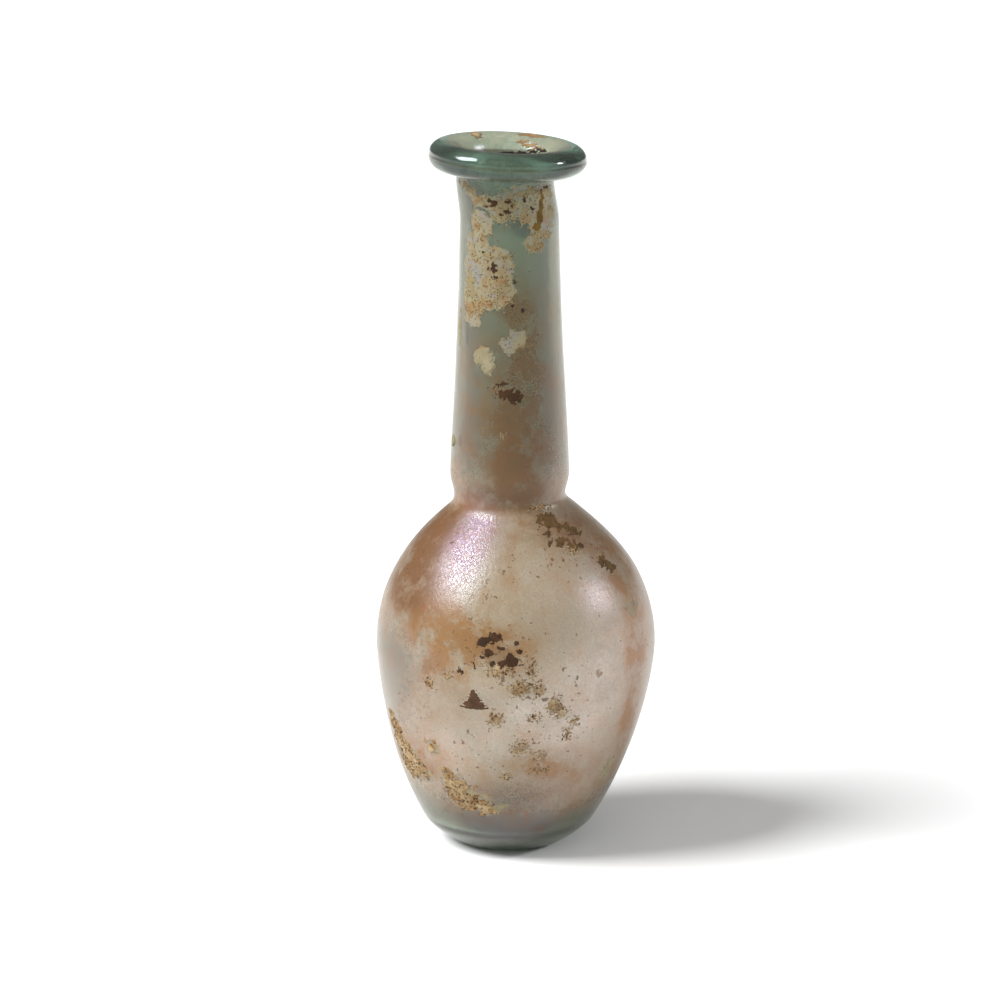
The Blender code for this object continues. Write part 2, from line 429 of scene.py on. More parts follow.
# %% Turn the flask
weathered_glass, glass_tree = new_material("weathered_soda_lime_glass")
outline_mesh = bpy.data.meshes.new("outline")
outline_links = [(i, i + 1) for i in range(len(outline) - 1)]
outline_mesh.from_pydata([(r, 0.0, z) for r, z in outline], outline_links, [])
FLASK_SIDES = 224
UNEVENNESS = 0.00030
SWELL_SIZE = 0.016
flask = grown("flask_glass", outline_mesh, turning_tree("turned_on_the_pipe"), {
    "Sides": FLASK_SIDES, "Unevenness": UNEVENNESS, "Swell size": SWELL_SIZE, "Glass": weathered_glass})
print("flask:", len(flask.data.vertices), "points,", len(flask.data.polygons), "faces")

# %% [markdown]
# Hand work left the flask a little crooked: the foot and the neck lean to one side and the collar tips.
# The solid has the same lean, so the points are moved in the same way here.

# %% Lean and tip
TIP_SIDE = math.tan(math.radians(2.8))
TIP_FRONT = math.tan(math.radians(1.5))
LEAN = [
    (0.0, -0.0013), (BELLY_Z - 0.0015, 0.0), ((BELLY_Z + SHOULDER_Z) / 2, 0.0), (SHOULDER_Z, -0.0005),
    (NECK_PINCH_Z, -0.0011), ((NECK_SWELL_Z + 5 * COLLAR_BASE_Z) / 6, -0.0011),
    (COLLAR_BASE_Z - NECK_TOP_DROP, -0.0020), (COLLAR_BASE_Z + COLLAR_TUBE_HEIGHT / 2, -0.00145)]
TIP = [(COLLAR_BASE_Z - 0.010, 0.0), (COLLAR_BASE_Z, 1.0)]


def leaned(x, y, z):
    """Where the glassblower's hand left a point of the true turned shape."""
    return x + eased(LEAN, z), y, z - eased(TIP, z) * (x * TIP_SIDE + y * TIP_FRONT)


points = np.array([v.co[:] for v in flask.data.vertices])
turn_of = np.degrees(np.arctan2(points[:, 0], -points[:, 1]))
radius_of = np.hypot(points[:, 0], points[:, 1])
row_of = np.array([item.value for item in flask.data.attributes["row"].data])
for vertex in flask.data.vertices:
    vertex.co = leaned(*vertex.co)
volume_sign = sum(f.center.dot(f.normal) * f.area for f in flask.data.polygons)
if volume_sign < 0:
    flask.data.flip_normals()
print("glass volume:", round(abs(volume_sign) / 3 * 1e6, 1), "cm3, normals out:", volume_sign > 0)

# %% [markdown]
# ## Where things are on the surface
#
# Every stain and flake gets a place: its turn from the front in degrees, positive to the right, and its
# height. The distance between two places is measured along the glass, so a patch keeps its shape on the
# sloping shoulder too.

# %% Places on the surface
line = np.array(outline)
steps = np.hypot(*np.diff(line, axis=0).T)
arc_of_row = np.concatenate([[0.0], np.cumsum(steps)])
arc_of_row -= arc_of_row[LIP_ROW]
outer_rows = np.arange(LIP_ROW + len(collar) - 1, len(outline))


def arc_at(height):
    """How far down the outside from the lip a height in millimetres lies."""
    return float(np.interp(-height * MM, -line[outer_rows, 1], arc_of_row[outer_rows]))


def surface_place(turn, arc):
    """The point of the leaning outline at a turn and a distance from the lip."""
    r = np.interp(arc, arc_of_row, line[:, 0])
    z = np.interp(arc, arc_of_row, line[:, 1])
    angle = math.radians(turn)
    return leaned(r * math.sin(angle), -r * math.cos(angle), float(z))


def wrapped(angle):
    """An angle between -180 and 180 degrees."""
    return (angle + 180.0) % 360.0 - 180.0


vertex_arc = np.interp(row_of, np.arange(len(outline)), arc_of_row)
vertex_height = np.interp(row_of, np.arange(len(outline)), line[:, 1]) / MM
is_outer = row_of >= LIP_ROW


def distance_to(turn, height, half_width, half_height, lean=0.0, arc=None):
    """For each point of the glass, its distance to a place, as a share of the place's half sizes."""
    arc = arc_at(height) if arc is None else arc
    across = np.radians(wrapped(turn_of - turn)) * radius_of / MM
    down = (vertex_arc - arc) / MM
    c, s = math.cos(math.radians(lean)), math.sin(math.radians(lean))
    return np.hypot((across * c + down * s) / half_width, (down * c - across * s) / half_height)


# %% [markdown]
# ## The film and the stains
#
# Weathering turned the skin of the glass into a milky film, thick on the belly, thinner on the neck and
# the foot, and hardly there on the collar. Soil stained it tan and brown in broad soft clouds, with some
# rust. These clouds are painted on the points of the glass as plain numbers, one set for each kind of
# cloud. The material turns them into colour, gloss and cloudiness, and adds the fine grain that the
# points are too coarse for. Some clouds paint light and shade as well: the pale ones are partly a chalky
# film and partly a painted glow where light through the belly brightens it, the pearly ones paint a
# pink highlight where the lamps' highlights fall, and a thinner film on the left paints shade on the
# side that the key lamp lights most.

# %% Paint the clouds
def noise_of(size, seed):
    """Smooth noise around one half on the points of the glass, with features of a size in millimetres."""
    shift = Vector((seed * 7.1, seed * 3.7, seed * 5.3))
    values = [noise.fractal(Vector(p) / (size * MM) + shift, 1.0, 2.0, 3) for p in points]
    return 0.5 + 0.5 * np.array(values)


clouds = {name: np.zeros(len(points)) for name in
          ("film", "tan", "brown", "rust", "pearl", "pale", "smoke", "pepper", "lime", "soil")}


def cloud(kind, turn, height, half_width, half_height, strength, lean=0.0):
    """Adds one soft cloud on the outside."""
    d = distance_to(turn, height, half_width, half_height, lean)
    clouds[kind] += is_outer * strength * np.exp(-d ** 2.4)


def skin_of(kind, patches, soft=1.4):
    """Adds a thin skin of earth over patches of (turn, height, half width, half height)."""
    inside_by = np.full(len(points), -9.0)
    for turn, height, half_width, half_height in patches:
        d = distance_to(turn, height, half_width, half_height)
        inside_by = np.maximum(inside_by, (1.0 - d) * min(half_width, half_height))
    clouds[kind] = np.maximum(clouds[kind], is_outer * np.clip(0.5 + inside_by / soft, 0.0, 1.0))


def levels(kind, steps, size, depth, seed):
    """Adds a level that changes with height, in (height, value) steps, and swells in broad clouds."""
    level = np.interp(vertex_height, *zip(*steps))
    clouds[kind] += level * (1.0 + depth * (noise_of(size, seed) - 0.5) * 2.0)


levels("film", [(0, 0.22), (6, 0.27), (11, 0.55), (18, 0.90), (60, 0.95), (69, 0.76), (78, 0.54), (105, 0.36),
                (125, 0.32), (131, 0.26), (133, 0.10), (134.9, 0.10), (135.3, 0.55), (135.7, 0.10),
                (139, 0.14)], 17, 0.16, 1)
levels("tan", [(0, 0.04), (9, 0.12), (18, 0.34), (30, 0.24), (58, 0.26), (70, 0.30), (84, 0.24), (110, 0.14),
               (131, 0.03), (133, 0.0)], 6, 0.9, 2)
levels("pepper", [(0, 0.08), (8, 0.30), (60, 0.38), (70, 0.22), (100, 0.16), (131, 0.10), (133, 0.0)],
       9, 0.9, 3)
inner_film = np.where(vertex_height > 125, 0.62, clouds["film"] * 0.60)  # a milky mouth, thinner below it
clouds["film"] = np.where(is_outer, clouds["film"], inner_film)
clouds["tan"] = np.where(is_outer, clouds["tan"], clouds["tan"] + 0.10)

NECK_CRUST = [
    (-60, 131.1, 2.0, 1.0), (-46, 129.8, 1.7, 1.1), (-31, 128.2, 2.2, 1.2), (-14, 127.9, 2.8, 1.7),
    (5, 128.5, 2.2, 1.8), (-5.6, 126.0, 2.2, 1.2), (22, 130.4, 2.8, 1.3), (50, 130.2, 2.8, 1.4),
    (20, 127.6, 2.0, 2.6), (53, 126.6, 1.8, 3.0), (38, 124.4, 2.6, 3.4), (29, 120.6, 2.2, 1.8),
    (-34, 124.0, 2.4, 2.6), (-40, 119.7, 3.0, 2.8), (-43, 115.4, 3.0, 3.2), (-18, 117.3, 3.2, 2.8),
    (-4, 116.1, 1.6, 2.4), (-17, 112.1, 4.0, 3.0), (-47, 110.6, 2.6, 3.4), (-25, 109.8, 3.8, 1.9),
    (-45, 105.6, 2.2, 1.6), (-6, 110.6, 1.8, 1.3), (36, 129.0, 1.2, 1.6)]
skin_of("lime", NECK_CRUST, 1.6)
skin_of("lime", [(-29, 98.6, 2.2, 1.7), (-23, 96.8, 1.4, 1.3), (5.0, 101.6, 2.6, 1.2), (0.0, 100.6, 1.4, 1.2),
                 (10.0, 103.0, 1.6, 1.2)], 1.6)
skin_of("lime", [(-68, 25.4, 2.8, 2.6), (-62, 20.6, 4.2, 3.8), (-52, 17.6, 3.6, 2.4), (-39, 24.4, 1.6, 1.6),
                 (-30, 17.4, 3.0, 2.6), (-22, 13.7, 4.6, 2.6), (-12, 12.2, 2.8, 1.6), (54, 18.3, 1.6, 2.2),
                 (62, 50, 2.4, 1.5)], 1.8)
skin_of("soil", [(33, 66.9, 2.4, 2.0), (43, 65.6, 3.0, 1.4), (51, 64.6, 1.9, 1.1), (34, 63.4, 2.4, 1.4),
                 (43, 62.4, 2.2, 1.3), (57, 58.9, 2.0, 1.6), (-7, 44.6, 3.2, 3.0), (-17, 35.2, 2.6, 1.2),
                 (-3, 92, 3.0, 1.6)], 2.2)
skin_of("soil", [(2, 38.4, 2.2, 1.6), (10, 38.0, 1.4, 1.6), (17, 34.2, 1.8, 2.0), (-8, 32.2, 1.5, 1.5),
                 (25, 30.0, 1.2, 2.0), (3, 26.0, 1.8, 1.4), (13, 23.6, 1.2, 1.0), (12.5, 21.0, 1.2, 0.8),
                 (-38, 41, 2.2, 2.4), (36, 40, 1.4, 1.2), (-60, 30, 1.2, 1.4)], 2.6)

cloud("brown", -64, 64, 13, 7, 1.00)
cloud("brown", -70, 56, 10, 8, 0.75)
cloud("brown", -60, 52, 6, 4, 0.35)
cloud("brown", -30, 72, 12, 3, 0.50)
cloud("brown", 25, 71, 12, 2.5, 0.35)
cloud("brown", -52, 55, 8, 6, 0.45)
cloud("tan", -74, 44, 6, 8, 0.35)
cloud("tan", -44, 53, 8, 7, 0.55)
cloud("tan", -22, 49, 9, 7, 0.62)
cloud("tan", -8, 46, 7, 4, 0.45)
cloud("brown", -12, 46, 6, 3.5, 0.20)
cloud("brown", 46, 65, 9, 4, 0.62)
cloud("brown", 62, 60, 7, 6, 0.50)
cloud("tan", 76, 56, 9, 8, 0.60)
cloud("tan", 62, 44, 3, 10, 0.45)
cloud("tan", 61, 29, 3.2, 9, 1.00)
cloud("tan", 58, 41, 3.0, 7, 0.70)
cloud("brown", 62, 20, 3, 8, 0.35)
cloud("tan", -28, 41, 7, 4, 0.40)
cloud("tan", -45, 23, 6, 4, 0.40)
cloud("tan", 15, 22, 8, 3, 0.50)
cloud("brown", -8, 15, 11, 3.5, 0.42)
cloud("brown", 30, 14, 12, 4.5, 0.34)
cloud("tan", 12, 10, 16, 3.5, 0.35)
cloud("brown", 6, 78, 6.2, 9, 0.85)
cloud("brown", 9, 94, 6.0, 14, 0.80)
cloud("brown", 12, 108, 5.0, 9, 0.62)
cloud("brown", 40, 88, 5, 16, 0.30)
cloud("brown", -35, 84, 5, 10, 0.22)
cloud("tan", -75, 69, 9, 3, 0.50)
cloud("tan", -24, 90, 5, 12, 0.40)
# less film on the left side, which the key lamp lights most: painted shade, so that side comes out no
# brighter than the middle
cloud("film", -70, 38, 13, 14, -0.50)
cloud("rust", 8, 78, 3.6, 5, 0.30)
cloud("rust", -62, 62, 8, 5, 0.30)
cloud("rust", -42, 52, 2.6, 2, 0.55)
cloud("rust", -37, 43, 1.8, 2, 0.40)
cloud("rust", 50, 66, 6, 2, 0.25)
cloud("rust", 62, 36, 1.8, 9, 0.55)
cloud("rust", 19, 7, 1.1, 1.4, 0.80)
# pearly patches where the lamps' highlights fall, on the left shoulder and the right: real gloss and coat,
# plus a pink and lavender painted highlight in the colour
cloud("pearl", -31, 62, 4.6, 8, 1.00)
cloud("pearl", -30, 66.8, 3.0, 1.6, 0.60)
cloud("pearl", 40, 53.5, 3.5, 3.5, 0.15)
# pale clouds: partly a chalky film, partly a painted glow where light passing through the belly brightens its
# lower middle and its right side
cloud("pale", 28, 38, 12, 9, 1.00)
cloud("pale", 12, 29, 15, 6, 0.75)
cloud("pale", 45, 49, 9, 7, 0.80)
cloud("pale", 22, 56, 7, 5, 0.25)
cloud("pale", -28, 24, 7, 5, 0.60)
cloud("pale", -14, 40, 4, 3, 0.40)
cloud("pale", -58, 34, 9, 9, 0.35)
cloud("pale", 0, 34, 6, 5, 0.25)
cloud("smoke", 3, 15.5, 5.5, 2.6, 0.85)
cloud("smoke", -12, 7, 14, 2.4, 0.35)
cloud("pepper", -20, 118, 7, 12, 0.75)
cloud("pepper", 10, 127, 9, 3, 0.60)
cloud("pepper", -42, 58, 12, 8, 0.55)
cloud("pepper", 45, 62, 10, 6, 0.60)
cloud("pepper", -6, 45.5, 5, 4, 0.85)
cloud("pepper", -6, 43, 9, 7, 0.35)
cloud("pepper", 12, 35, 9, 7, 0.50)
cloud("pepper", 8, 25, 11, 6, 0.25)
cloud("pepper", -45, 18, 15, 9, 0.45)
cloud("brown", 165, 56, 14, 10, 0.60)
cloud("tan", -140, 30, 9, 12, 0.5)
cloud("rust", 150, 58, 8, 5, 0.4)
cloud("brown", 175, 84, 6, 14, 0.6)
cloud("pale", -160, 36, 10, 8, 0.5)
for kind, values in clouds.items():
    layer = flask.data.attributes.new(kind, "FLOAT", "POINT")
    layer.data.foreach_set("value", np.clip(values, 0.0, 1.0).astype(np.float32))
    print(kind, "covers", round(float(np.mean(values > 0.5)) * 100), "% of the glass")
flask.data.attributes.remove(flask.data.attributes["row"])

# %% [markdown]
# The glass is common soda-lime glass, blown, and green-blue from a trace of iron. Its own colour comes
# from the depth of glass that light crosses, so it is set as a plain absorption inside the glass: thin
# walls look pale and the thick collar looks teal. The film is a stack of very thin layers, so its
# highlights play in pink and lavender. A thin film of about half a micrometre on the shader gives that
# play. On the pearly patches, which sit where the lamps' highlights fall, pink and lavender are also
# painted into the colour: a painted highlight over the real pearly gloss.
#
# The film scatters light, so under it less light goes through, and its colour shows instead. That is why
# the transmission isn't the same all over. Where the film is pearly, a coat on the shader gives a second,
# smoother shine, as its top layer does. Dark specks come in two sizes, coarser ones on the film and fine
# ones on the lime. The grain and the fine lime specks are drawn a little coarser than they are, because
# the real ones are too fine for the picture.

# %% The weathered glass
t = glass_tree
where = add(t, "ShaderNodeTexCoord", out="Object")
read = {kind: add(t, "ShaderNodeAttribute", {"attribute_name": kind}, out="Fac") for kind in clouds}
grain = add(t, "ShaderNodeTexNoise", Vector=where, Scale=per_metre(0.45), Detail=4.0, Roughness=0.65)
blotch = add(t, "ShaderNodeTexNoise", Vector=where, Scale=per_metre(3.0), Detail=6.0, Roughness=0.6)
mottle = add(t, "ShaderNodeTexNoise", Vector=where, Scale=per_metre(1.3), Detail=5.0, Roughness=0.7)
stretched = add(t, "ShaderNodeMapping", Vector=where, Scale=(1.0, 1.0, 0.06))
tool_lines = add(t, "ShaderNodeTexNoise", Vector=stretched, Scale=per_metre(0.7), Detail=3.0)
crackle = add(t, "ShaderNodeTexVoronoi", {"feature": "DISTANCE_TO_EDGE"}, Vector=where, Scale=per_metre(0.8))

cloudy = add(t, "ShaderNodeTexNoise", Vector=where, Scale=per_metre(5.0), Detail=9.0, Roughness=0.72)
pepper_grain = add(t, "ShaderNodeTexNoise", Vector=where, Scale=per_metre(0.95), Detail=4.0, Roughness=0.6)
frayed = add(t, "ShaderNodeTexNoise", Vector=where, Scale=per_metre(1.6), Detail=8.0, Roughness=0.72)
lime_grain = add(t, "ShaderNodeTexNoise", Vector=where, Scale=per_metre(0.50), Detail=3.0, Roughness=0.6)
pepper_clump = add(t, "ShaderNodeTexNoise", Vector=where, Scale=per_metre(2.4), Detail=4.0, Roughness=0.7)

# how a pattern breaks each cloud up: the pattern, its low and high, and the share left at low and at high
broken = {
    "film": (mottle, 0.25, 0.62, 0.84, 1.06), "tan": (cloudy, 0.36, 0.64, 0.20, 1.60),
    "brown": (cloudy, 0.34, 0.62, 0.55, 1.25), "rust": (mottle, 0.40, 0.66, 0.10, 1.50),
    "pearl": (mottle, 0.34, 0.60, 0.55, 1.10), "pale": (cloudy, 0.36, 0.60, 0.50, 1.15),
    "smoke": (grain, 0.42, 0.62, 0.05, 1.00)}
here = {}
for kind, (pattern, low, high, least, most) in broken.items():
    share = add(t, "ShaderNodeMapRange", SMOOTH, i0=pattern, i1=low, i2=high, i3=least, i4=most)
    here[kind] = add(t, MATHS, CLAMPED_TIMES, i0=read[kind], i1=share)
ragged_edges = {"lime": (frayed, 2.2), "soil": (frayed, 2.0)}
for kind, (pattern, depth) in ragged_edges.items():
    rag = add(t, "ShaderNodeMapRange", i0=pattern, i1=0.0, i2=1.0, i3=-0.5 * depth, i4=0.5 * depth)
    here[kind] = add(t, MATHS, PLUS, i0=read[kind], i1=rag)

thin_film = add(t, "ShaderNodeMapRange", SMOOTH, i0=here["film"], i1=0.14, i2=0.36)
thick_film = add(t, "ShaderNodeMapRange", SMOOTH, i0=here["film"], i1=0.45, i2=0.85)
skin = add(t, "ShaderNodeMix", RGBA, i0=thin_film, i6=colour("#9fbba9"), i7=colour("#8c9381"))
milk = add(t, "ShaderNodeMix", RGBA, i0=blotch, i6=colour("#c0ad8e"), i7=colour("#d6cab8"))
skin = add(t, "ShaderNodeMix", RGBA, i0=thick_film, i6=skin, i7=milk)
# the pink and lavender tint of the pearly patches is a painted highlight, laid where the lamps' highlights
# fall
painted_highlight_play = add(t, "ShaderNodeMapRange", SMOOTH, i0=grain, i1=0.40, i2=0.60)
painted_highlight_play = add(t, "ShaderNodeMix", RGBA, i0=painted_highlight_play, i6=colour("#ecbccb"), i7=colour("#cfb6e6"))
# of these tints the pale one is partly chalky film and partly a painted glow of light through the belly
tints = [("pale", 0.85, colour("#ded5cb")), ("tan", 0.85, colour("#b27a38")),
         ("brown", 0.95, colour("#7e4f1c")), ("rust", 0.80, colour("#9c541d")),
         ("pearl", 0.75, painted_highlight_play), ("smoke", 0.80, colour("#4a4238"))]
for kind, most, tint in tints:
    share = add(t, MATHS, CLAMPED_TIMES, i0=here[kind], i1=most)
    skin = add(t, "ShaderNodeMix", RGBA, i0=share, i6=skin, i7=tint)
lime_share = add(t, "ShaderNodeMapRange", SMOOTH, i0=here["lime"], i1=0.44, i2=0.52, i3=0.0, i4=0.92)
lime_window = add(t, "ShaderNodeMapRange", SMOOTH, i0=cloudy, i1=0.53, i2=0.44)
lime = add(t, "ShaderNodeMix", RGBA, i0=lime_window, i6=colour("#8f8566"), i7=colour("#84827b"))
ochre_share = add(t, "ShaderNodeMapRange", SMOOTH, i0=blotch, i1=0.48, i2=0.62, i3=0.0, i4=0.85)
lime = add(t, "ShaderNodeMix", RGBA, i0=ochre_share, i6=lime, i7=colour("#8a6a40"))
rim_share = add(t, "ShaderNodeMapRange", SMOOTH, i0=here["lime"], i1=0.72, i2=0.48, i3=0.0, i4=0.7)
lime = add(t, "ShaderNodeMix", RGBA, i0=rim_share, i6=lime, i7=colour("#83774c"))
skin = add(t, "ShaderNodeMix", RGBA, i0=lime_share, i6=skin, i7=lime)
soil_share = add(t, "ShaderNodeMapRange", SMOOTH, i0=here["soil"], i1=0.56, i2=0.84, i3=0.0, i4=0.78)
skin = add(t, "ShaderNodeMix", RGBA, i0=soil_share, i6=skin, i7=colour("#6e4e2b"))

crowd = add(t, "ShaderNodeMapRange", i0=pepper_clump, i1=0.35, i2=0.65, i3=0.20, i4=1.0)
crowd = add(t, MATHS, CLAMPED_TIMES, i0=read["pepper"], i1=crowd)
limit = add(t, "ShaderNodeMapRange", i0=crowd, i1=0.0, i2=1.0, i3=0.72, i4=0.50)
fine_limit = add(t, "ShaderNodeMapRange", i0=lime_share, i1=0.0, i2=0.9, i3=0.80, i4=0.60)
above = add(t, MATHS, MINUS, i0=pepper_grain, i1=limit)
fine_above = add(t, MATHS, MINUS, i0=lime_grain, i1=fine_limit)
above = add(t, MATHS, MOST_OF, i0=above, i1=fine_above)
speck_share = add(t, "ShaderNodeMapRange", SMOOTH, i0=above, i1=0.0, i2=0.03, i3=0.0, i4=0.90)
speck_tint = add(t, "ShaderNodeMix", RGBA, i0=mottle, i6=colour("#2e1c0c"), i7=colour("#70461e"))
skin = add(t, "ShaderNodeMix", RGBA, i0=speck_share, i6=skin, i7=speck_tint)
fine_tone = add(t, "ShaderNodeMapRange", SMOOTH, i0=grain, i1=0.30, i2=0.70, i3=0.0, i4=0.32)
fine_share = add(t, MATHS, TIMES, i0=fine_tone, i1=here["film"])
skin = add(t, "ShaderNodeMix", RGBA, i0=fine_share, i6=skin, i7=colour("#7a6a55"))

gloss = add(t, "ShaderNodeMapRange", SMOOTH, i0=here["film"], i1=0.0, i2=0.9, i3=0.05, i4=0.30)
uneven = add(t, "ShaderNodeMapRange", i0=grain, i1=0.0, i2=1.0, i3=-0.06, i4=0.06)
gloss = add(t, MATHS, PLUS, i0=gloss, i1=uneven)
dull = add(t, MATHS, TIMES, i0=here["brown"], i1=0.14)
gloss = add(t, MATHS, PLUS, i0=gloss, i1=dull)
bright = add(t, MATHS, TIMES, i0=here["pearl"], i1=-0.16)
gloss = add(t, MATHS, PLUS, i0=gloss, i1=bright)
dusty = add(t, MATHS, TIMES, i0=lime_share, i1=0.35)
gloss = add(t, MATHS, CLAMPED_PLUS, i0=gloss, i1=dusty)
see_through = add(t, "ShaderNodeMapRange", SMOOTH, i0=here["film"], i1=0.05, i2=0.90, i3=0.94, i4=0.50)
# the pale clouds also let less light through, so their painted glow shows as colour
for share, most in ((here["brown"], -0.10), (here["pale"], -0.28),
                    (lime_share, -0.70), (soil_share, -0.50), (speck_share, -0.60)):
    blocked = add(t, MATHS, TIMES, i0=share, i1=most)
    see_through = add(t, MATHS, CLAMPED_PLUS, i0=see_through, i1=blocked)

sheen = add(t, "ShaderNodeMapRange", i0=here["pearl"], i1=0.0, i2=1.0, i3=0.10, i4=0.60)
unworn = add(t, "ShaderNodeMapRange", i0=lime_share, i1=0.0, i2=0.6, i3=1.0, i4=0.0)
sheen = add(t, MATHS, CLAMPED_TIMES, i0=sheen, i1=unworn)

pits = add(t, MATHS, TIMES, i0=grain, i1=here["film"])
cracks = add(t, "ShaderNodeMapRange", SMOOTH, i0=crackle, i1=0.0, i2=0.12)
cracks = add(t, MATHS, TIMES, i0=cracks, i1=here["pearl"])
relief = add(t, MATHS, {"operation": "MULTIPLY_ADD"}, i0=tool_lines, i1=0.5, i2=pits)
relief = add(t, MATHS, PLUS, i0=relief, i1=cracks)
bump = add(t, "ShaderNodeBump", Strength=0.50, Distance=0.00012, Height=relief)
glass = add(t, "ShaderNodeBsdfPrincipled", Base_Color=skin, Roughness=gloss, IOR=1.51,
            Transmission_Weight=see_through, Normal=bump, Coat_Weight=sheen, Coat_Roughness=0.18,
            Coat_IOR=1.55, Coat_Normal=bump, Thin_Film_Thickness=535.0, Thin_Film_IOR=1.47)
depth = add(t, "ShaderNodeVolumeAbsorption", Color=colour("#a3c9bb"), Density=88.0)
add(t, "ShaderNodeOutputMaterial", Surface=glass, Volume=depth)

# %% [markdown]
# ## The crust
#
# Lime and soil from the ground have set on the glass in thin raised flakes with ragged edges: cream to
# ochre on the neck, grainy on the lower left, and dark brown in the small spots. A flake has a real
# thickness, a tenth or two of a millimetre, so it is made as a mesh of its own. A fine grid is laid on
# the glass. Each of its points gets a field, its distance inside the patch in millimetres, roughened with
# noise. Where the field is positive the skin rises out of the glass, and where it is negative it dips
# into it, so the edge follows the field and not the grid.

# %% Lay a crust on the glass
glass_faces = [tuple(f.vertices) for f in flask.data.polygons]
glass_surface = BVHTree.FromPolygons([v.co.copy() for v in flask.data.vertices], glass_faces)
SINK = 0.05 * MM
LIP_HEIGHT = lip_point[1] / MM


def field_at(turn, arc, radius, patches, ragged, size, seed):
    """How far inside the patches a place lies, in millimetres, with a ragged edge."""
    best = -9.0
    for centre, centre_arc, half_width, half_height, lean, sign in patches:
        across = math.radians(wrapped(turn - centre)) * radius / MM
        down = (arc - centre_arc) / MM
        c, s = math.cos(math.radians(lean)), math.sin(math.radians(lean))
        share = math.hypot((across * c + down * s) / half_width, (down * c - across * s) / half_height)
        inside_by = (1.0 - share) * min(half_width, half_height)
        best = max(best, inside_by) if sign > 0 else min(best, -inside_by)
    place = Vector((math.radians(turn) * radius, arc, seed * 3.3)) / (size * MM)
    return best + ragged * noise.fractal(place, 0.9, 2.1, 5)


def crust(name, material, patches, cell=0.17, thickness=0.16, ragged=1.2, size=1.8, edge=0.30, seed=1):
    """
    A raised skin on the glass. Each patch is (turn, height, half width, half height, lean, 1 or -1 for a
    hole). A height above the lip counts the millimetres from the lip down into the mouth.
    """
    spots = [(turn, arc_at(height) if height < LIP_HEIGHT else (LIP_HEIGHT - height) * MM, w, h, lean, sign)
             for turn, height, w, h, lean, sign in patches]
    radius = float(np.interp(np.mean([spot[1] for spot in spots]), arc_of_row, line[:, 0]))
    margin = ragged * 0.6 + 0.3
    solid_spots = [spot for spot in spots if spot[5] > 0]
    low_turn = min(s[0] - math.degrees((max(s[2], s[3]) + margin) * MM / radius) for s in solid_spots)
    high_turn = max(s[0] + math.degrees((max(s[2], s[3]) + margin) * MM / radius) for s in solid_spots)
    low_arc = min(s[1] - (max(s[2], s[3]) + margin) * MM for s in solid_spots)
    high_arc = max(s[1] + (max(s[2], s[3]) + margin) * MM for s in solid_spots)
    columns = int(math.radians(high_turn - low_turn) * radius / (cell * MM)) + 2
    rows = int((high_arc - low_arc) / (cell * MM)) + 2
    top, under, depths, field = [], [], [], np.full((rows, columns), -9.0)
    number = np.full((rows, columns), -1)
    for i in range(rows):
        arc = low_arc + (high_arc - low_arc) * i / (rows - 1)
        row_radius = max(float(np.interp(arc, arc_of_row, line[:, 0])), 0.002)
        for j in range(columns):
            turn = low_turn + (high_turn - low_turn) * j / (columns - 1)
            value = field_at(turn, arc, row_radius, spots, ragged, size, seed)
            field[i, j] = value
            if value > -2.5 * cell:
                place, normal, _, _ = glass_surface.find_nearest(surface_place(turn, arc))
                rise = float(np.clip(value / edge, -1.0, 1.0))
                lump = 0.65 + 0.35 * (1.0 + noise.noise(place / (0.7 * MM)))
                height = thickness * MM * rise * lump if rise > 0 else SINK * rise
                number[i, j] = len(top)
                top.append(place + normal * height)
                under.append(place - normal * (SINK * 1.6))
                depths.append(value)
    quads = []
    for i in range(rows - 1):
        for j in range(columns - 1):
            quad = (number[i, j], number[i + 1, j], number[i + 1, j + 1], number[i, j + 1])
            if min(quad) >= 0 and field[i:i + 2, j:j + 2].max() > 0:
                quads.append(tuple(int(n) for n in quad))
    edges = {(a, b) for quad in quads for a, b in zip(quad, quad[1:] + quad[:1])}
    count = len(top)
    faces = quads + [tuple(n + count for n in reversed(quad)) for quad in quads]
    faces += [(b, a, a + count, b + count) for a, b in sorted(edges) if (b, a) not in edges]
    mesh = bpy.data.meshes.new(name)
    mesh.from_pydata(top + under, [], faces)
    depth = mesh.attributes.new("inside", "FLOAT", "POINT")
    depth.data.foreach_set("value", np.array(depths + depths, dtype=np.float32))
    used = bmesh.new()
    used.from_mesh(mesh)
    bmesh.ops.delete(used, geom=[v for v in used.verts if not v.link_faces], context="VERTS")
    bmesh.ops.recalc_face_normals(used, faces=used.faces)
    used.to_mesh(mesh)
    used.free()
    mesh.shade_smooth()
    mesh.materials.append(material)
    piece = bpy.data.objects.new(name, mesh)
    bpy.context.scene.collection.objects.link(piece)
    print(name, "has", len(mesh.polygons), "faces")
    return piece


# %% [markdown]
# The crust is lime and clay: dull, granular and porous. Its colour runs from cream to ochre and rust,
# with specks of dark brown manganese as fine as pepper. On the neck it is so thin that the grey of the
# glass shows through in windows, and its rim is a greener ochre. The dark spots are soil rich in the same
# manganese. All are matt, so nearly all of their look is in the colour and the grain.

